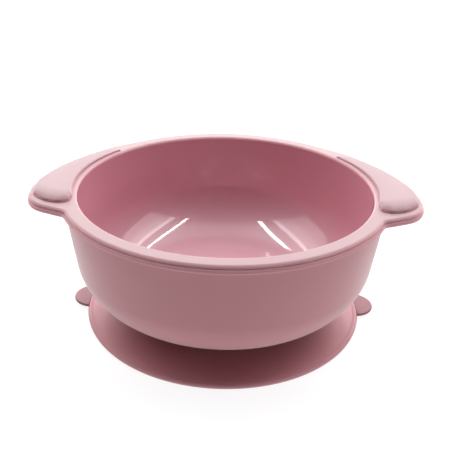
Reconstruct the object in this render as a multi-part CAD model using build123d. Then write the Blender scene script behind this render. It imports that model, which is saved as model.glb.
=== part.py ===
from build123d import *

import os
from math import acos, atan2, cos, degrees, hypot, radians, sin

# A silicone suction bowl for babies. Millimetres, +Z up, +X to the ear on the right, -Y to the eater.
# The origin is on the table, under the centre of the round bowl.

# Bowl: each face of its wall is a cup, whose drafted wall runs into a round corner, then into a flat floor
outer_floor_radius = 39.4
outer_corner_radius = 22.6
outer_floor = 9.4
shell_top_radius = 65.1
inner_floor_radius = 30.0
inner_corner_radius = 28.0
inner_floor = 13.0
liner_thickness = 1.0
bore_radius = 60.0

# Flange: a lip, and on it a top plate set back a little, with a groove between their two edges
flange_radius = 66.9
plate_inset = 0.6
rim_top = 56.9
plate_thickness = 1.2
lip_thickness = 1.9
plate_edge_round = 1.0
bore_edge_round = 0.4
groove_edge_round = 0.15
lip_top_round = 0.4
lip_under_round = 0.5
ear_notch_round = 2.0

# Ears: each runs out of the rim at the back, round a tip, and meets the rim again at a notch in front
ear_back_angle = 52.0
ear_notch_angle = -25.0
ear_outline = [(52.7, 44.2), (63.1, 32.1), (71.0, 19.0), (76.7, 4.4), (78.7, -7.8), (77.1, -16.5),
               (72.5, -23.0), (66.5, -26.1)]

# Raised pad on each ear: it follows the rim at a constant radius and stays inside the ear's edge
pad_inner_radius = 61.8
pad_back_angle = 36.8
pad_front_angle = -15.5
pad_outline = [(54.2, 37.4), (61.5, 31.0), (69.3, 18.4), (75.0, 3.9), (76.7, -8.4), (74.8, -15.4),
               (69.2, -20.4), (63.8, -21.7), (60.2, -20.1)]
pad_front_height = 2.6
pad_back_height = 0.9
pad_edge_round = 0.5

# Foot under the bowl, with the blind socket that the base's plug sits in
foot_radius = 24.0
foot_height = 6.4
foot_edge_round = 0.8
socket_radius = 7.8
socket_top = 10.9

# Suction base: hub with a plug, flexible skirt, sealing lip on the table and two pull tabs
hub_radius = 20.0
hub_bottom = 3.2
hub_top = 6.1
plug_radius = 7.5
plug_top = 10.6
plug_chamfer = 0.6
base_radius = 59.0
seal_width = 2.6
seal_height = 2.2
seal_top_round = 1.0
seal_bottom_round = 1.1
joint_gap = 0.3
skirt_hub_top = 5.9
skirt_hub_bottom = 3.6
skirt_edge_top = 1.9
skirt_edge_bottom = 0.4
skirt_hollow = 0.5
tab_centre_x = 57.3
tab_radius = 8.6
tab_bottom = 1.1
tab_thickness = 1.2
tab_edge_round = 0.4

# Sizes that follow from the ones above
plate_bottom = rim_top - plate_thickness
lip_bottom = plate_bottom - lip_thickness


def polar(radius, angle):
    """Point at a radius and an angle in degrees, measured from +X."""
    return (radius * cos(radians(angle)), radius * sin(radians(angle)))


def mirrored(points):
    """The same points on the other side of the bowl."""
    return [(-x, y) for x, y in points]


def cup(floor_radius, corner_radius, floor, top_radius, top_height):
    """Solid of revolution inside a cup: flat floor, corner arc and a wall tangent to it."""
    centre = (floor_radius, floor + corner_radius)
    reach_out = top_radius - centre[0]
    reach_up = top_height - centre[1]
    turn = atan2(reach_up, reach_out) - acos(corner_radius / hypot(reach_out, reach_up))
    wall_start = (centre[0] + corner_radius * cos(turn), centre[1] + corner_radius * sin(turn))
    half_turn = (turn - radians(90)) / 2
    arc_middle = (centre[0] + corner_radius * cos(half_turn), centre[1] + corner_radius * sin(half_turn))
    with BuildPart() as solid:
        with BuildSketch(Plane.XZ):
            with BuildLine():
                Line((0, floor), (floor_radius, floor))
                ThreePointArc((floor_radius, floor), arc_middle, wall_start)
                Line(wall_start, (top_radius, top_height))
                Line((top_radius, top_height), (0, top_height))
                Line((0, top_height), (0, floor))
            make_face()
        revolve(axis=Axis.Z)
    return solid.part


def outer_cup():
    """Everything inside the shell's outer face, up to the flange."""
    return cup(outer_floor_radius, outer_corner_radius, outer_floor, shell_top_radius, lip_bottom)


def inner_cup(skin):
    """Everything inside the bowl and a skin of this thickness, up to the rim plate."""
    floor = inner_floor - skin
    return cup(inner_floor_radius, inner_corner_radius + skin, floor, bore_radius + skin, plate_bottom)


def upright(radius, bottom, top):
    """Cylinder on the bowl's axis between two heights."""
    return Pos(0, 0, bottom) * Cylinder(radius, top - bottom, align=(Align.CENTER, Align.CENTER, Align.MIN))


def set_in(points, amount):
    """The inner points of a counterclockwise line, moved this far to its left."""
    moved = []
    for before, point, after in zip(points, points[1:], points[2:]):
        along = (after[0] - before[0], after[1] - before[1])
        share = amount / hypot(*along)
        moved.append((point[0] - along[1] * share, point[1] + along[0] * share))
    return moved


def flange_face(inset):
    """Outline of the rim with both ears, set in by this much, as one flat face."""
    radius = flange_radius - inset
    back = polar(radius, ear_back_angle)
    notch_y = polar(flange_radius, ear_notch_angle)[1] + inset
    notch = ((radius**2 - notch_y**2) ** 0.5, notch_y)
    notch_angle = degrees(atan2(notch[1], notch[0]))
    right = [notch] + ear_outline[::-1] + [back]
    right = [notch] + set_in(right, inset) + [back]
    left = mirrored(right[::-1])
    back_heading = (-sin(radians(ear_back_angle)), cos(radians(ear_back_angle)))
    front_heading = (1.0, 0.16)
    left_back_heading = (back_heading[0], -back_heading[1])
    left_front_heading = (front_heading[0], -front_heading[1])
    with BuildSketch() as sketch:
        with BuildLine():
            Spline(*right, tangents=[front_heading, back_heading])
            CenterArc((0, 0), radius, ear_back_angle, 180 - 2 * ear_back_angle)
            Spline(*left, tangents=[left_back_heading, left_front_heading])
            CenterArc((0, 0), radius, 180 - notch_angle, 180 + 2 * notch_angle)
        make_face()
        notches = sketch.vertices().filter_by(lambda v: v.Y < 0)
        fillet(notches, ear_notch_round + inset)
    return sketch.sketch


def rim_plate():
    """Matte top of the rim and the ears, with a rounded edge outside and over the bore."""
    plate = Pos(0, 0, plate_bottom) * extrude(flange_face(plate_inset), plate_thickness)
    plate = fillet(plate.edges().group_by(Axis.Z)[-1], plate_edge_round)
    plate = fillet(plate.edges().group_by(Axis.Z)[0], groove_edge_round)
    plate -= upright(bore_radius, plate_bottom, rim_top)
    circles = plate.edges().filter_by(GeomType.CIRCLE).group_by(Axis.Z)[-1]
    bore_edge = circles.filter_by(lambda edge: abs(edge.radius - bore_radius) < 0.01)
    return fillet(bore_edge, bore_edge_round)


def rim_lip():
    """Lower half of the flange and the ears, a second rounded edge a little outside the plate's."""
    lip = Pos(0, 0, lip_bottom) * extrude(flange_face(0), lip_thickness)
    lip = fillet(lip.edges().group_by(Axis.Z)[-1], lip_top_round)
    lip = fillet(lip.edges().group_by(Axis.Z)[0], lip_under_round)
    return lip - inner_cup(liner_thickness)


def bowl_shell():
    """Matte outside of the bowl: the wall up to the flange, the foot and the socket for the base."""
    foot = upright(foot_radius, foot_height, socket_top)
    foot = fillet(foot.edges().group_by(Axis.Z)[0], foot_edge_round)
    shell = outer_cup() + foot - inner_cup(liner_thickness)
    return shell - upright(socket_radius, foot_height, socket_top)


def bowl_liner():
    """Glossy inside of the bowl, a thin skin that ends under the rim plate."""
    return inner_cup(liner_thickness) - inner_cup(0)


def ear_pad(side):
    """Raised grip on one ear, high at its front end and low at its back tip; side is +1 or -1."""
    back = polar(pad_inner_radius, pad_back_angle)
    front = polar(pad_inner_radius, pad_front_angle)
    middle = polar(pad_inner_radius, (pad_back_angle + pad_front_angle) / 2)
    rise = pad_front_height - pad_back_height
    run = pad_outline[0][1] - pad_outline[-2][1]
    slope = Plane(origin=(0, pad_outline[-2][1], rim_top + pad_front_height), z_dir=(0, rise, run))
    with BuildSketch(Plane.XY.offset(rim_top)) as sketch:
        with BuildLine():
            Spline(back, *pad_outline, front)
            ThreePointArc(front, middle, back)
        make_face()
    pad = extrude(sketch.sketch, 2 * pad_front_height)
    pad = split(pad, bisect_by=slope, keep=Keep.BOTTOM)
    top_edges = pad.faces().sort_by(Axis.Z)[-1].edges()
    pad = fillet(top_edges, pad_edge_round)
    return pad if side > 0 else mirror(pad, Plane.YZ)


def base_hub():
    """Middle of the suction base, with the plug that the bowl pulls off."""
    hub = upright(hub_radius, hub_bottom, hub_top)
    plug = upright(plug_radius, hub_top, plug_top)
    plug = chamfer(plug.edges().group_by(Axis.Z)[-1], plug_chamfer)
    return hub + plug


def suction_skirt():
    """Flexible cone between the hub and the sealing lip, slightly hollow along its slope."""
    inner = hub_radius + joint_gap
    outer = base_radius - seal_width
    middle = (inner + outer) / 2
    top_middle = (skirt_hub_top + skirt_edge_top) / 2 - skirt_hollow
    bottom_middle = (skirt_hub_bottom + skirt_edge_bottom) / 2 - skirt_hollow
    with BuildPart() as solid:
        with BuildSketch(Plane.XZ):
            with BuildLine():
                ThreePointArc((inner, skirt_hub_top), (middle, top_middle), (outer, skirt_edge_top))
                Line((outer, skirt_edge_top), (outer, skirt_edge_bottom))
                ThreePointArc((outer, skirt_edge_bottom), (middle, bottom_middle), (inner, skirt_hub_bottom))
                Line((inner, skirt_hub_bottom), (inner, skirt_hub_top))
            make_face()
        revolve(axis=Axis.Z)
    return solid.part


def sealing_lip():
    """Ring that seals against the table, with a rounded bead on its outer edge."""
    disc = upright(base_radius, 0, seal_height)
    disc = fillet(disc.edges().group_by(Axis.Z)[-1], seal_top_round)
    disc = fillet(disc.edges().group_by(Axis.Z)[0], seal_bottom_round)
    return disc - upright(base_radius - seal_width, 0, seal_height)


def pull_tab(side):
    """Half-round tab outside the sealing lip, which a finger lifts; side is +1 or -1."""
    disc = Cylinder(tab_radius, tab_thickness, align=(Align.CENTER, Align.CENTER, Align.MIN))
    disc = fillet(disc.edges().filter_by(GeomType.CIRCLE), tab_edge_round)
    tab = Pos(side * tab_centre_x, 0, tab_bottom) * disc
    return tab - upright(base_radius + joint_gap, 0, tab_bottom + tab_thickness)


def save(node, shape):
    """Write one sub-part to its own file."""
    shape.label = node
    export_step(shape, os.path.join("parts", node + ".step"))


def main():
    os.makedirs("parts", exist_ok=True)
    save("bowl_shell", bowl_shell())
    save("bowl_liner", bowl_liner())
    save("rim_plate", rim_plate())
    save("rim_lip", rim_lip())
    save("base_hub", base_hub())
    save("suction_skirt", suction_skirt())
    save("sealing_lip", sealing_lip())
    for name, side in (("right", 1), ("left", -1)):
        save("ear_pad_" + name, ear_pad(side))
        save("pull_tab_" + name, pull_tab(side))


main()
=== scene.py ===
"""Looks of a silicone suction bowl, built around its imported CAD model. Metres, +Z up, -Y to the eater."""

from math import acos, atan2, cos, hypot, pi, radians, sin, sqrt

import bmesh
import bpy
import numpy as np
from mathutils import Matrix, Vector


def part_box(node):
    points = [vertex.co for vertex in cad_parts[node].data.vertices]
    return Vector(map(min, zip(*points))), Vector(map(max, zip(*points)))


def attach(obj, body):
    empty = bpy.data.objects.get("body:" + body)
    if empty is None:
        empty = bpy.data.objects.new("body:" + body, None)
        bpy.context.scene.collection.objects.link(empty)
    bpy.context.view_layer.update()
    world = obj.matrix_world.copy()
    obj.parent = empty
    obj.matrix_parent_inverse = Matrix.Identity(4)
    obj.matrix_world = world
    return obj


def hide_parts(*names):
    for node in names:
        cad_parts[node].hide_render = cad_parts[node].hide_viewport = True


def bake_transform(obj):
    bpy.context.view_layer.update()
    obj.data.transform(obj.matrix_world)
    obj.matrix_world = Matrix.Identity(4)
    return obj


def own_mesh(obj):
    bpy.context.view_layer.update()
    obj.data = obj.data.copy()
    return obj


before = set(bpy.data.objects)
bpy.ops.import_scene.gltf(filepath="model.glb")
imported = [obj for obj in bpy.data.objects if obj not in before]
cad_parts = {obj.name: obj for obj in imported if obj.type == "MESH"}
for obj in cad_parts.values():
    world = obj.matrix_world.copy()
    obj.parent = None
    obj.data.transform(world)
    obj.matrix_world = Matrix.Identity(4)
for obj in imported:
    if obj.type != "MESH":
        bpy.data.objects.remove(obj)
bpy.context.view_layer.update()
mm = 0.001

# Sizes that the CAD model gives
rim_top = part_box("rim_plate")[1].z
plate_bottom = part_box("rim_plate")[0].z
lip_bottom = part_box("rim_lip")[0].z
flange_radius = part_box("rim_lip")[1].y
plate_inset = flange_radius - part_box("rim_plate")[1].y
shell_top_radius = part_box("bowl_shell")[1].x
foot_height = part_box("bowl_shell")[0].z
liner_back_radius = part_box("bowl_liner")[1].x
liner_back_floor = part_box("bowl_liner")[0].z
hub_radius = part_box("base_hub")[1].x
hub_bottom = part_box("base_hub")[0].z
plug_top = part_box("base_hub")[1].z
seal_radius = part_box("sealing_lip")[1].x
seal_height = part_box("sealing_lip")[1].z
skirt_outer_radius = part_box("suction_skirt")[1].x
tab_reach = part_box("pull_tab_right")[1].x
tab_half_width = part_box("pull_tab_right")[1].y
tab_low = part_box("pull_tab_right")[0].z
tab_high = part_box("pull_tab_right")[1].z

# Bowl wall: the CAD design's own radii
liner_thickness = 1.0 * mm
bore_radius = liner_back_radius - liner_thickness
inner_floor = liner_back_floor + liner_thickness
inner_floor_radius = 30.0 * mm
inner_corner_radius = 28.0 * mm
outer_floor_radius = 39.4 * mm
outer_corner_radius = 22.6 * mm
outer_floor = 9.4 * mm
foot_radius = 24.0 * mm
foot_edge_round = 0.8 * mm
foot_root_round = 1.2 * mm
socket_radius = 7.8 * mm
socket_top = 10.9 * mm

# Flange edges, which are softer over the bore than the CAD solid's
plate_edge_round = 1.0 * mm
bore_edge_round = 1.1 * mm
groove_edge_round = 0.15 * mm
groove_height = 0.2 * mm
groove_depth = 0.25 * mm
lip_flare = 0.55 * mm
lip_under_round = 0.5 * mm
notch_round = 2.4 * mm

# Ears: outline of the right one, from the notch in front, round the tip, to where it leaves the rim behind
ear_notch_angle = -25.0
ear_back_angle = 52.0
notch_heading = (1.0, 0.16)
ear_outline = [(66.5, -26.1), (72.5, -23.0), (77.1, -16.5), (78.7, -7.8), (76.7, 4.4), (71.0, 19.0),
               (63.1, 32.1), (52.7, 44.2)]

# Raised pad on each ear
pad_inner_radius = 61.8 * mm
pad_back_angle = 36.8
pad_front_angle = -15.5
pad_outline = [(60.2, -20.1), (63.8, -21.7), (69.2, -20.4), (74.8, -15.4), (76.7, -8.4), (75.0, 3.9),
               (69.3, 18.4), (61.5, 31.0), (54.2, 37.4)]
pad_front_height = 2.5 * mm
pad_back_height = 0.7 * mm
pad_inner_round = 0.5 * mm
pad_outer_round = 1.4 * mm
pad_foot_round = 0.6 * mm
pad_front_roll = 8.5 * mm
pad_foot_share = 0.3
pad_rise = 1.1
pad_crown = 0.1
pad_stations = 90
pad_front_cap = 5.0
pad_back_cap = 2.0
pad_round_reach = 4 * mm
pad_front_start = -6 * mm
pad_front_reach = 10 * mm
pad_round_limit = 0.95

# Base: clearances to the bowl, the skirt's heights at the hub and at the seal, and the seal's inner corner
base_clearance = 0.3 * mm
hub_edge_round = 0.5 * mm
skirt_top = (5.9 * mm, 1.9 * mm)
skirt_underside = (3.6 * mm, 0.45 * mm)
skirt_hollow = 0.5 * mm
skirt_into_hub = 0.6 * mm
skirt_into_seal = 0.5 * mm
seal_inner_bottom = 0.5 * mm
seal_inner_top = 1.75 * mm
seal_shoulder = (0.5 * mm, 1.95 * mm)
seal_foot_inset = 0.6 * mm
tab_into_seal = 0.9 * mm
tab_edge_round = 0.45 * mm

# Mesh spacing and cleaning
round_segments = 288
rim_spacing = 0.6 * mm
rear_spacing = 0.8 * mm
pad_spacing = 0.25 * mm
weld_distance = 0.002 * mm
sliver_length = 0.001 * mm
crease_angle = radians(50)

# Silicone: noise scales are in cycles per metre, and the gloss swings this much either way
cloud_scale = 38.0
smudge_scale = 120.0
pore_scale = 2200.0
pore_depth = 0.05 * mm
gloss_swing = 0.04
silicone_ior = 1.42
sheen_roughness = 0.35
sheen_tint = (1.0, 0.95, 0.95, 1)


def polar(radius, angle):
    """Point at a radius and an angle in degrees, measured from +X."""
    return np.array((radius * cos(radians(angle)), radius * sin(radians(angle))))


def arc(radius, start, end, spacing):
    """Points round the bowl's axis between two angles in degrees, the last one left out."""
    steps = max(2, round(abs(radians(end - start)) * radius / spacing))
    return np.array([polar(radius, start + (end - start) * i / steps) for i in range(steps)])


def corner(centre, radius, start, end, steps=6):
    """Points (across, height) on a quarter round or less, angles in degrees."""
    turns = np.radians(np.linspace(start, end, steps + 1))
    return [(centre[0] + radius * cos(a), centre[1] + radius * sin(a)) for a in turns]


def smooth_line(points, spacing, start_heading=None, end_heading=None):
    """Evenly spaced points on the cubic spline through the given ones."""
    knots = np.array(points, float)
    gaps = np.linalg.norm(np.diff(knots, axis=0), axis=1)
    count = len(knots)
    system = np.zeros((count, count))
    wanted = np.zeros((count, 2))
    for end, near, gap, heading in ((0, 1, gaps[0], start_heading), (-1, -2, gaps[-1], end_heading)):
        system[end, end] = 1.0 if heading is not None else 2.0
        if heading is None:
            system[end, near] = 1.0
            wanted[end] = 3 * (1 / gap) * (knots[near] - knots[end]) * (1 if end == 0 else -1)
        else:
            wanted[end] = np.array(heading, float) / np.linalg.norm(heading)
    for i in range(1, count - 1):
        before, after = gaps[i - 1], gaps[i]
        system[i, i - 1:i + 2] = 1 / before, 2 / before + 2 / after, 1 / after
        wanted[i] = 3 * (knots[i] - knots[i - 1]) / before**2 + 3 * (knots[i + 1] - knots[i]) / after**2
    slopes = np.linalg.solve(system, wanted)
    dense = [knots[0]]
    for i, gap in enumerate(gaps):
        for t in np.linspace(0, 1, 65)[1:]:
            dense.append((2 * t**3 - 3 * t**2 + 1) * knots[i] + (t**3 - 2 * t**2 + t) * gap * slopes[i]
                         + (3 * t**2 - 2 * t**3) * knots[i + 1] + (t**3 - t**2) * gap * slopes[i + 1])
    return resample(np.array(dense), spacing)


def resample(line, spacing):
    """The same line with evenly spaced points."""
    run = np.concatenate(([0], np.cumsum(np.linalg.norm(np.diff(line, axis=0), axis=1))))
    places = np.linspace(0, run[-1], max(3, round(run[-1] / spacing) + 1))
    return np.column_stack([np.interp(places, run, line[:, k]) for k in (0, 1)])


def rounded_joint(before, after, reach, pull=0.6, steps=10):
    """Two lines that meet at a corner, as one line with a smooth bend reaching that far along each.

    The pull is how far the bend is drawn towards the corner, from 0 to 1.
    """
    run_in = np.linalg.norm(before - before[-1], axis=1)
    run_out = np.linalg.norm(after - after[0], axis=1)
    kept_in = before[run_in >= reach]
    kept_out = after[run_out >= reach]
    corner_point = before[-1]
    start, end = kept_in[-1], kept_out[0]
    first = start + pull * (corner_point - start)
    second = end + pull * (corner_point - end)
    bend = [(1 - t)**3 * start + 3 * (1 - t)**2 * t * first + 3 * (1 - t) * t**2 * second + t**3 * end
            for t in np.linspace(0, 1, steps + 1)[1:-1]]
    return np.vstack((kept_in, bend, kept_out))


def flange_outline():
    """Outline of the rim and both ears, once round from the middle of the front."""
    notch = polar(flange_radius, ear_notch_angle)
    back = polar(flange_radius, ear_back_angle)
    ear = np.vstack(([notch], np.array(ear_outline) * mm, [back]))
    back_heading = (-sin(radians(ear_back_angle)), cos(radians(ear_back_angle)))
    ear = smooth_line(ear, rim_spacing, notch_heading, back_heading)
    front = np.vstack((arc(flange_radius, -90, ear_notch_angle, rim_spacing), [notch]))
    right = rounded_joint(front, ear, notch_round * 0.55)
    rear = arc(flange_radius, ear_back_angle, 90, rear_spacing)[1:]
    half = np.vstack((right, rear, [polar(flange_radius, 90)]))
    other = half[-2:0:-1] * (-1, 1)
    return np.vstack((half, other))


def inward(outline):
    """Unit normals into a closed outline that runs counterclockwise."""
    along = np.roll(outline, -1, axis=0) - np.roll(outline, 1, axis=0)
    along /= np.linalg.norm(along, axis=1)[:, None]
    return np.column_stack((-along[:, 1], along[:, 0]))


def at_height(points, z):
    """Flat points lifted to one height, or to one height each."""
    return np.column_stack((points, np.broadcast_to(z, len(points))))


def cup_profile(floor_radius, corner_radius, floor, top_radius, top_height, steps=28):
    """Points (radius, height) of a cup from the edge of its flat floor, up its corner and drafted wall."""
    centre = (floor_radius, floor + corner_radius)
    reach_out = top_radius - centre[0]
    reach_up = top_height - centre[1]
    turn = atan2(reach_up, reach_out) - acos(corner_radius / hypot(reach_out, reach_up))
    bend = corner(centre, corner_radius, -90, turn * 180 / pi, steps)
    wall = [(bend[-1][0] + (top_radius - bend[-1][0]) * t, bend[-1][1] + (top_height - bend[-1][1]) * t)
            for t in np.linspace(0, 1, 9)[1:]]
    return bend + wall


def circle_ring(radius, height):
    """One ring of a turned piece."""
    turns = np.linspace(0, 2 * pi, round_segments, endpoint=False)
    heights = np.full(round_segments, height)
    return np.column_stack((radius * np.cos(turns), radius * np.sin(turns), heights))


def loft(name, rings, ends):
    """Mesh object over a row of rings, whose ends are "joined", "filled" or, on a line, "welded"."""
    rings = [np.asarray(ring) for ring in rings]
    count = len(rings[0])
    mesh = bmesh.new()
    rows = [[mesh.verts.new(point) for point in ring] for ring in rings]
    pairs = list(zip(rows, rows[1:]))
    if ends == "joined":
        pairs.append((rows[-1], rows[0]))
    for low, high in pairs:
        for i in range(count):
            j = (i + 1) % count
            mesh.faces.new((low[i], low[j], high[j], high[i]))
    if ends == "filled":
        for row, ring, flip in ((rows[0], rings[0], True), (rows[-1], rings[-1], False)):
            hub = mesh.verts.new(ring.mean(axis=0))
            for i in range(count):
                j = (i + 1) % count
                mesh.faces.new((row[j], row[i], hub) if flip else (row[i], row[j], hub))
    bmesh.ops.remove_doubles(mesh, verts=mesh.verts, dist=weld_distance)
    bmesh.ops.dissolve_degenerate(mesh, edges=mesh.edges, dist=sliver_length)
    bmesh.ops.recalc_face_normals(mesh, faces=mesh.faces)
    data = bpy.data.meshes.new(name)
    mesh.to_mesh(data)
    mesh.free()
    data.shade_smooth()
    data.set_sharp_from_angle(angle=crease_angle)
    piece = bpy.data.objects.new(name, data)
    bpy.context.scene.collection.objects.link(piece)
    return piece


def turned(name, profile, ends):
    """Piece turned round the bowl's axis from a profile of (radius, height) points."""
    return loft(name, [circle_ring(radius, height) for radius, height in profile], ends)


def bowl_inside():
    """Glossy lining: its own thickness everywhere, ending under the rim plate."""
    face = cup_profile(inner_floor_radius, inner_corner_radius, inner_floor, bore_radius, plate_bottom)
    back = cup_profile(inner_floor_radius, inner_corner_radius + liner_thickness, liner_back_floor,
                       liner_back_radius, plate_bottom)
    floor_rings = [(inner_floor_radius * share, inner_floor) for share in (0.2, 0.5, 0.8)]
    return turned("bowl_inside", floor_rings + face + back[::-1], "filled")


def bowl_outside():
    """Matte outer wall with the foot and the socket for the base."""
    wall = cup_profile(outer_floor_radius, outer_corner_radius, outer_floor, shell_top_radius, lip_bottom)
    back = cup_profile(inner_floor_radius, inner_corner_radius + liner_thickness, liner_back_floor,
                       liner_back_radius, plate_bottom)
    back = [(radius, height) for radius, height in back if height < lip_bottom]
    edge = foot_edge_round
    socket = [(socket_radius * 0.5, socket_top), (socket_radius, socket_top)]
    socket += corner((socket_radius + edge, foot_height + edge), edge, 180, 270)
    foot = corner((foot_radius - edge, foot_height + edge), edge, -90, 0)
    root = corner((foot_radius + foot_root_round, outer_floor - foot_root_round), foot_root_round, 180, 90)
    profile = socket + foot + root + wall + [(liner_back_radius, lip_bottom)] + back[::-1]
    return turned("bowl_outside", profile, "filled")


def rim(name, edge, inner_profile):
    """One half of the flange: its outer edge, as points (inset, height), and its profile at the bore."""
    outline = flange_outline()
    normal = inward(outline)
    turn = np.arctan2(outline[:, 1], outline[:, 0])
    radial = np.column_stack((np.cos(turn), np.sin(turn)))
    rings = [at_height(outline + normal * across, z) for across, z in edge]
    inner = [at_height(radial * radius, z) for radius, z in inner_profile]
    across_top = [rings[-1] + (inner[0] - rings[-1]) * share for share in (0.15, 0.35, 0.55, 0.75, 0.9)]
    across_bottom = [inner[-1] + (rings[0] - inner[-1]) * share for share in (0.3, 0.7)]
    return loft(name, rings + across_top + inner + across_bottom, "joined")


def rim_plate():
    """Matte top of the rim and the ears, rounded outside and over the bore."""
    bore_centre = (bore_radius + bore_edge_round, rim_top - bore_edge_round)
    bore = corner(bore_centre, bore_edge_round, 90, 180, 8) + [(bore_radius, plate_bottom)]
    across = plate_inset + groove_edge_round
    edge = corner((across, plate_bottom + groove_edge_round), groove_edge_round, -90, -180)
    across = plate_inset + plate_edge_round
    edge += corner((across, rim_top - plate_edge_round), plate_edge_round, 180, 90, 8)
    return rim("rim_top", edge, bore)


def rim_lip():
    """Lower half of the flange: set back in the groove, with a second rounded edge outside the plate's."""
    bore = [(liner_back_radius, plate_bottom), (liner_back_radius, lip_bottom)]
    edge = corner((lip_under_round, lip_bottom + lip_under_round), lip_under_round, -90, -180)
    shelf = plate_bottom - groove_height
    widest = lip_bottom + lip_under_round
    edge += [(lip_flare * t**2, widest + (shelf - widest) * sqrt(t)) for t in np.linspace(0.2, 1, 6)]
    edge += [(plate_inset + groove_depth, shelf)]
    return rim("rim_underside", edge + [(plate_inset + groove_depth, plate_bottom)], bore)


def pad_height(points):
    """Height of the pad above the rim: low at its back tip and high in front, where it rolls down."""
    front = [polar(pad_inner_radius, pad_front_angle)]
    front = np.array(front + [np.array(point) * mm for point in pad_outline[:5]])
    back = pad_outline[-1][1] * mm
    share = np.clip((back - points[:, 1]) / (back - front[2, 1]), 0, 1)
    ahead = points[:, 1] - np.interp(points[:, 0], front[:, 0], front[:, 1])
    roll = np.clip(ahead / pad_front_roll, 0, 1)
    tall = pad_back_height + (pad_front_height - pad_back_height) * share**pad_rise
    return tall * (pad_foot_share + (1 - pad_foot_share) * np.sqrt(1 - (1 - roll)**2))


def pad_rows():
    """Outline of the right pad, and for each of its points the nearby one on the pad's middle line."""
    back = polar(pad_inner_radius, pad_back_angle)
    front = polar(pad_inner_radius, pad_front_angle)
    outer = smooth_line(np.vstack(([front], np.array(pad_outline) * mm, [back])), pad_spacing)
    outer_turn = np.degrees(np.arctan2(outer[:, 1], outer[:, 0]))
    stations = np.linspace(pad_front_angle + pad_front_cap, pad_back_angle - pad_back_cap, pad_stations)
    front_cap = outer[:-1][outer_turn[:-1] < stations[0]]
    back_cap = outer[outer_turn > stations[-1]]
    rising = np.argmax(outer_turn > stations[0])
    outer_radius = np.interp(stations, outer_turn[rising:], np.hypot(*outer[rising:].T))
    turns = np.radians(stations)
    heading = np.column_stack((np.cos(turns), np.sin(turns)))
    middle = heading * ((pad_inner_radius + outer_radius) / 2)[:, None]
    inner_front = arc(pad_inner_radius, stations[0], pad_front_angle, rim_spacing)[1:]
    inner_back = arc(pad_inner_radius, pad_back_angle, stations[-1], rim_spacing)
    outline = np.vstack((front_cap, heading * outer_radius[:, None], back_cap, inner_back,
                         (heading * pad_inner_radius)[::-1], inner_front))
    spine = np.vstack((np.tile(middle[0], (len(front_cap), 1)), middle,
                       np.tile(middle[-1], (len(back_cap) + len(inner_back), 1)),
                       middle[::-1], np.tile(middle[0], (len(inner_front), 1))))
    return outline, spine


def pad_rounds(outline):
    """How far the pad's edge is rounded at each point: tight along the bore and in front, softer outside."""
    outside = np.clip((np.hypot(*outline.T) - pad_inner_radius) / pad_round_reach, 0, 1)
    in_front = np.clip((pad_front_start - outline[:, 1]) / pad_front_reach, 0, 1)
    soft = pad_outer_round + (pad_foot_round - pad_outer_round) * in_front
    return pad_inner_round + (soft - pad_inner_round) * outside


def ear_pad(side):
    """Raised grip on an ear: a steep edge, then a gently crowned top; side is +1 or -1."""
    outline, spine = pad_rows()
    reach = np.linalg.norm(spine - outline, axis=1)
    round_reach = np.minimum(pad_rounds(outline), reach * pad_round_limit)
    rings = [at_height(spine, rim_top), at_height(outline, rim_top)]
    for share in np.concatenate((np.linspace(0, 1, 13)[1:], np.linspace(1, 2, 9)[1:])):
        across = round_reach * min(share, 1) + (reach - round_reach) * max(share - 1, 0)
        flat = outline + (spine - outline) * (across / reach)[:, None]
        steep = sqrt(1 - (1 - min(share, 1))**2)
        crown = across / reach * (2 - across / reach)
        lift = pad_height(flat) * ((1 - pad_crown) * steep + pad_crown * crown)
        rings.append(at_height(flat, rim_top + lift))
    rings = [ring * (side, 1, 1) for ring in rings]
    return loft("grip_pad_right" if side > 0 else "grip_pad_left", rings, "welded")


def suction_hub():
    """Middle of the base, with the plug that the bowl pulls off."""
    plug_radius = socket_radius - base_clearance
    hub_top = foot_height - base_clearance
    edge = hub_edge_round
    profile = [(plug_radius * 0.5, plug_top)]
    profile += corner((plug_radius - edge, plug_top - edge), edge, 90, 0)
    profile += corner((plug_radius + edge, hub_top + edge), edge, 180, 270)
    profile += corner((hub_radius - edge, hub_top - edge), edge, 90, 0)
    profile += corner((hub_radius - edge, hub_bottom + edge), edge, 0, -90)
    profile += [(hub_radius * 0.5, hub_bottom)]
    return turned("suction_hub", profile, "filled")


def suction_cone():
    """Flexible skirt, slightly hollow along its slope, set a little into the hub and the seal."""
    inner = hub_radius - skirt_into_hub
    outer = skirt_outer_radius + skirt_into_seal
    faces = []
    for start, end in (skirt_top, skirt_underside):
        faces.append([(inner + (outer - inner) * share,
                       start + (end - start) * share - 4 * skirt_hollow * share * (1 - share))
                      for share in np.linspace(0, 1, 17)])
    return turned("suction_cone", faces[0] + faces[1][::-1], "joined")


def suction_seal():
    """Edge of the base: a soft bead that stands on the table."""
    inner = skirt_outer_radius
    bead = seal_height / 2
    profile = [(inner, seal_inner_bottom), (inner, seal_inner_top)]
    profile += [(inner + seal_shoulder[0], seal_shoulder[1])]
    profile += corner((seal_radius - bead, seal_height - bead), bead, 90, 0)
    profile += corner((seal_radius - bead, bead), bead, 0, -90)
    profile += [(inner + seal_foot_inset, 0.0)]
    return turned("suction_seal", profile, "joined")


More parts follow.
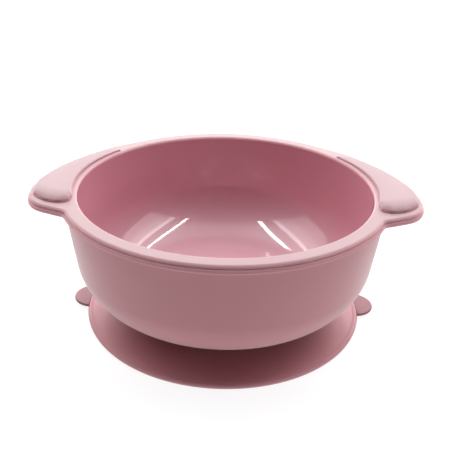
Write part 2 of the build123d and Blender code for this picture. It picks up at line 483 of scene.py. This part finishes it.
def lift_tab(side):
    """Half-round tab whose root grows out of the seal; side is +1 or -1."""
    root = seal_radius - tab_into_seal
    tip_radius = tab_half_width
    centre = tab_reach - tip_radius
    edge = tab_edge_round
    turns = np.linspace(-1, 1, 49) * acos((root - centre) / tip_radius)
    bow = [(centre + tip_radius * cos(a), tip_radius * sin(a)) for a in turns]
    chord = [(root, bow[-1][1] * s) for s in np.linspace(1, -1, 17)[1:-1]]
    outline = np.array(bow + chord)
    middle = np.array(((root + tab_reach) / 2, 0.0))
    normal = inward(outline)
    section = corner((edge, tab_low + edge), edge, -90, -180)
    section += corner((edge, tab_high - edge), edge, 180, 90)
    sides = [at_height(outline + normal * across, z) for across, z in section]
    shares = (0.2, 0.4, 0.6, 0.8, 0.95)
    low = [sides[0] + (np.append(middle, tab_low) - sides[0]) * s for s in shares[::-1]]
    high = [sides[-1] + (np.append(middle, tab_high) - sides[-1]) * s for s in shares]
    rings = [ring * (side, 1, 1) for ring in low + sides + high]
    return loft("lift_tab_right" if side > 0 else "lift_tab_left", rings, "filled")


def silicone(name, colour, deeper, roughness, sheen, grain, coat=0.0, coat_roughness=0.1,
             painted_side_colour=None, painted_light_span=(0.7, 0.95)):
    """Moulded silicone: faint clouding of its colour, uneven gloss and a fine moulded grain.

    With a painted side colour, upward faces keep the given colour and sideways faces take the other. This is
    painted light and shade by the way a face looks, not a colour of the silicone itself.
    The span is the height of a face's unit normal where the change from side to top starts and ends.
    """
    material = bpy.data.materials.new(name)
    material.use_nodes = True
    nodes, links = material.node_tree.nodes, material.node_tree.links
    shader = nodes["Principled BSDF"]
    place = nodes.new("ShaderNodeTexCoord")
    clouds = nodes.new("ShaderNodeTexNoise")
    clouds.inputs["Scale"].default_value = cloud_scale
    clouds.inputs["Detail"].default_value = 3.0
    links.new(place.outputs["Object"], clouds.inputs["Vector"])
    tint = nodes.new("ShaderNodeMix")
    tint.data_type = "RGBA"
    tint.inputs["A"].default_value = (*colour, 1)
    tint.inputs["B"].default_value = (*deeper, 1)
    links.new(clouds.outputs["Fac"], tint.inputs["Factor"])
    links.new(tint.outputs["Result"], shader.inputs["Base Color"])
    # Painted light and shade: the colour follows the way a face looks, from the side colour to the top
    # colour.
    if painted_side_colour:
        facing = nodes.new("ShaderNodeSeparateXYZ")
        links.new(place.outputs["Normal"], facing.inputs["Vector"])
        upward = nodes.new("ShaderNodeMapRange")
        upward.inputs["From Min"].default_value = painted_light_span[0]
        upward.inputs["From Max"].default_value = painted_light_span[1]
        links.new(facing.outputs["Z"], upward.inputs["Value"])
        painted_facing_light = nodes.new("ShaderNodeMix")
        painted_facing_light.data_type = "RGBA"
        painted_facing_light.inputs["A"].default_value = (*painted_side_colour, 1)
        links.new(upward.outputs["Result"], painted_facing_light.inputs["Factor"])
        links.new(tint.outputs["Result"], painted_facing_light.inputs["B"])
        links.new(painted_facing_light.outputs["Result"], shader.inputs["Base Color"])
    smudges = nodes.new("ShaderNodeTexNoise")
    smudges.inputs["Scale"].default_value = smudge_scale
    smudges.inputs["Detail"].default_value = 4.0
    links.new(place.outputs["Object"], smudges.inputs["Vector"])
    gloss = nodes.new("ShaderNodeMapRange")
    gloss.inputs["To Min"].default_value = roughness - gloss_swing
    gloss.inputs["To Max"].default_value = roughness + gloss_swing
    links.new(smudges.outputs["Fac"], gloss.inputs["Value"])
    links.new(gloss.outputs["Result"], shader.inputs["Roughness"])
    pores = nodes.new("ShaderNodeTexNoise")
    pores.inputs["Scale"].default_value = pore_scale
    pores.inputs["Detail"].default_value = 2.0
    links.new(place.outputs["Object"], pores.inputs["Vector"])
    bump = nodes.new("ShaderNodeBump")
    bump.inputs["Strength"].default_value = grain
    bump.inputs["Distance"].default_value = pore_depth
    links.new(pores.outputs["Fac"], bump.inputs["Height"])
    links.new(bump.outputs["Normal"], shader.inputs["Normal"])
    shader.inputs["IOR"].default_value = silicone_ior
    shader.inputs["Sheen Weight"].default_value = sheen
    shader.inputs["Sheen Roughness"].default_value = sheen_roughness
    shader.inputs["Sheen Tint"].default_value = sheen_tint
    shader.inputs["Coat Weight"].default_value = coat
    shader.inputs["Coat Roughness"].default_value = coat_roughness
    return material


def dress(piece, material, body, slot, *nodes):
    """Give a finished piece its material, its CAD body and the nodes it stands for; the record slot is not
    used.
    """
    piece.data.materials.append(material)
    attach(piece, body)
    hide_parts(*nodes)


def build_object():
    """Every piece of the bowl and its base, with its material and nodes, and all but the tabs with their
    body.
    """
    matte = silicone("matte_silicone", (0.56, 0.25, 0.28), (0.53, 0.23, 0.26),
                     roughness=0.55, sheen=0.8, grain=0.30)
    # Painted light: the wall's silicone with its tops painted darker and its sides painted lighter, to offset
    # the lamps.
    rim_matte_painted_light = silicone("rim_silicone_painted_light", (0.37, 0.22, 0.235), (0.35, 0.205, 0.22),
                         roughness=0.5, sheen=0.7, grain=0.30, painted_side_colour=(0.68, 0.345, 0.385))
    # Painted light: the wall's silicone painted lighter, so that the lip looks lit along its rounded edge.
    lip_matte_painted_light = silicone("lip_silicone_painted_light", (0.66, 0.31, 0.345), (0.63, 0.295, 0.33),
                         roughness=0.5, sheen=0.5, grain=0.30)
    # Painted light: the wall's silicone with the pad tops painted darker and their sides lighter, to offset
    # the lamps.
    pad_matte_painted_light = silicone("pad_silicone_painted_light", (0.31, 0.17, 0.185), (0.29, 0.16, 0.175),
                         roughness=0.5, sheen=0.7, grain=0.30, painted_side_colour=(0.55, 0.27, 0.31))
    # Painted reflection: the lining's floor, which faces up, is painted paler than its walls, as a whitish
    # veil.
    glossy = silicone("glossy_silicone_painted_reflection", (0.62, 0.34, 0.39), (0.59, 0.32, 0.37),
                      roughness=0.4, sheen=0.0, grain=0.0, coat=1.0, coat_roughness=0.05,
                      painted_side_colour=(0.55, 0.237, 0.29), painted_light_span=(0.3, 1.0))
    satin = silicone("satin_silicone", (0.61, 0.29, 0.325), (0.57, 0.265, 0.30),
                     roughness=0.45, sheen=0.25, grain=0.2)
    # Painted shade: the base's silicone painted darker, so that the tabs look shaded.
    tab_satin_painted_shade = silicone("tab_silicone_painted_shade", (0.30, 0.115, 0.135), (0.28, 0.105, 0.125),
                          roughness=0.5, sheen=0.0, grain=0.2)
    dress(bowl_outside(), matte, "bowl", "silicone_matte", "bowl_shell")
    dress(bowl_inside(), glossy, "bowl", "silicone_gloss", "bowl_liner")
    dress(rim_plate(), rim_matte_painted_light, "bowl", "silicone_matte", "rim_plate")
    dress(rim_lip(), lip_matte_painted_light, "bowl", "silicone_matte", "rim_lip")
    dress(suction_hub(), satin, "base_hub", "silicone_base", "base_hub")
    dress(suction_seal(), satin, "base_edge", "silicone_base", "sealing_lip")
    cone = suction_cone()
    dress(cone, satin, "base_edge", "silicone_base", "suction_skirt")
    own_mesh(cone)
    for name, side in (("right", 1), ("left", -1)):
        dress(ear_pad(side), pad_matte_painted_light, "bowl", "silicone_pad", "ear_pad_" + name)
        tab = lift_tab(side)
        tab.data.materials.append(tab_satin_painted_shade)
        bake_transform(tab)
        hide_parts("pull_tab_" + name)


def softbox(name, start, end, width, radiance, height=1.0, in_gloss=True):
    """Level light over the bowl. The ends of its middle line and its width are slopes seen from the bowl."""
    reach = (end[0] - start[0], end[1] - start[1])
    lamp = panel(name, width * height, hypot(*reach) * height, radiance, in_gloss)
    lamp.location = ((start[0] + end[0]) / 2 * height, (start[1] + end[1]) / 2 * height, height)
    lamp.rotation_euler = (0, 0, -atan2(*reach))


def panel(name, width, length, radiance, in_gloss=True):
    """Rectangular light of an even radiance, hidden from the camera and, if asked, from glossy faces."""
    data = bpy.data.lights.new(name, "AREA")
    data.shape = "RECTANGLE"
    data.size = width
    data.size_y = length
    data.energy = radiance * pi * width * length
    lamp = bpy.data.objects.new(name, data)
    lamp.visible_camera = False
    lamp.visible_glossy = in_gloss
    bpy.context.scene.collection.objects.link(lamp)
    return lamp


def build_lights():
    """Two bright strips, two soft panels with a bright edge, a broad overhead, a low fill and a backdrop."""
    softbox("strip_right", (0.416, -0.15), (0.432, 1.2), width=0.040, radiance=30.0)
    softbox("strip_left", (-0.350, -0.12), (-0.262, 1.2), width=0.046, radiance=30.0)
    softbox("panel_edge_right", (0.65, -0.15), (0.73, 1.2), width=0.11, radiance=5.5)
    softbox("panel_edge_left", (-0.595, -0.15), (-0.59, 1.2), width=0.11, radiance=5.5)
    softbox("panel_right", (1.10, -0.2), (1.15, 1.2), width=0.85, radiance=2.0)
    softbox("panel_left", (-1.25, -0.2), (-1.25, 1.2), width=1.3, radiance=1.8)
    softbox("overhead", (0, 0), (0, 1.6), width=2.0, radiance=1.0, height=1.3)
    softbox("low_fill_right", (5.2, -2.2), (5.2, 0.2), width=2.1, radiance=9.0, height=0.25, in_gloss=False)
    backdrop = panel("backdrop", width=3.0, length=1.5, radiance=3.8)
    backdrop.location = (0, 1.6, 0.76)
    backdrop.rotation_euler = (radians(-90), 0, 0)
    world = bpy.data.worlds.new("studio")
    world.use_nodes = True
    background = world.node_tree.nodes["Background"]
    background.inputs["Color"].default_value = (1, 1, 1, 1)
    background.inputs["Strength"].default_value = 0.06
    bpy.context.scene.world = world
    bpy.context.scene.view_settings.view_transform = "Standard"


def build_floor():
    """Plain pale floor, just below the base, that gives off a little light of its own."""
    half, height = 3.0, -0.05 * mm
    mesh = bpy.data.meshes.new("floor")
    corners = [(-half, -half, height), (half, -half, height), (half, half, height), (-half, half, height)]
    mesh.from_pydata(corners, [], [(0, 1, 2, 3)])
    floor = bpy.data.objects.new("floor", mesh)
    bpy.context.scene.collection.objects.link(floor)
    material = bpy.data.materials.new("pale_floor")
    material.use_nodes = True
    shader = material.node_tree.nodes["Principled BSDF"]
    shader.inputs["Base Color"].default_value = (0.2, 0.2, 0.2, 1)
    shader.inputs["Roughness"].default_value = 0.8
    shader.inputs["Specular IOR Level"].default_value = 0.1
    shader.inputs["Emission Color"].default_value = (1, 1, 1, 1)
    shader.inputs["Emission Strength"].default_value = 0.87
    mesh.materials.append(material)


def build_flag():
    """Black card standing behind the camera, which keeps the light of the floor beyond it off the bowl."""
    half, height, place = 0.6, 0.055, -0.3
    mesh = bpy.data.meshes.new("black_card")
    corners = [(-half, place, 0), (half, place, 0), (half, place, height), (-half, place, height)]
    mesh.from_pydata(corners, [], [(0, 1, 2, 3)])
    card = bpy.data.objects.new("black_card", mesh)
    bpy.context.scene.collection.objects.link(card)
    material = bpy.data.materials.new("black_card")
    material.use_nodes = True
    shader = material.node_tree.nodes["Principled BSDF"]
    shader.inputs["Base Color"].default_value = (0.01, 0.01, 0.01, 1)
    shader.inputs["Roughness"].default_value = 0.9
    mesh.materials.append(material)
    card.visible_camera = False


def build_camera():
    """A product shot from the eater's side, tipped up a little and rolled slightly. Angles are in degrees."""
    turn, elevation, pitch_up, roll = 1.08, 28.19, 1.839, 1.442
    distance = 294.33 * mm
    target = Vector((0, 0, 28.44 * mm))
    back = Vector((0, -cos(radians(elevation)), sin(radians(elevation))))
    facing = (-back).to_track_quat("-Z", "Y").to_matrix().to_4x4()
    data = bpy.data.cameras.new("camera")
    data.lens = 55.0
    data.sensor_width = 36.0
    data.clip_start = 0.01
    camera = bpy.data.objects.new("camera", data)
    tip = Matrix.Rotation(radians(pitch_up), 4, "X") @ Matrix.Rotation(radians(roll), 4, "Z")
    swing = Matrix.Rotation(radians(turn), 4, "Z")
    camera.matrix_world = swing @ Matrix.Translation(target + back * distance) @ facing @ tip
    bpy.context.scene.collection.objects.link(camera)
    bpy.context.scene.camera = camera


build_camera()
build_object()
build_lights()
build_floor()
build_flag()
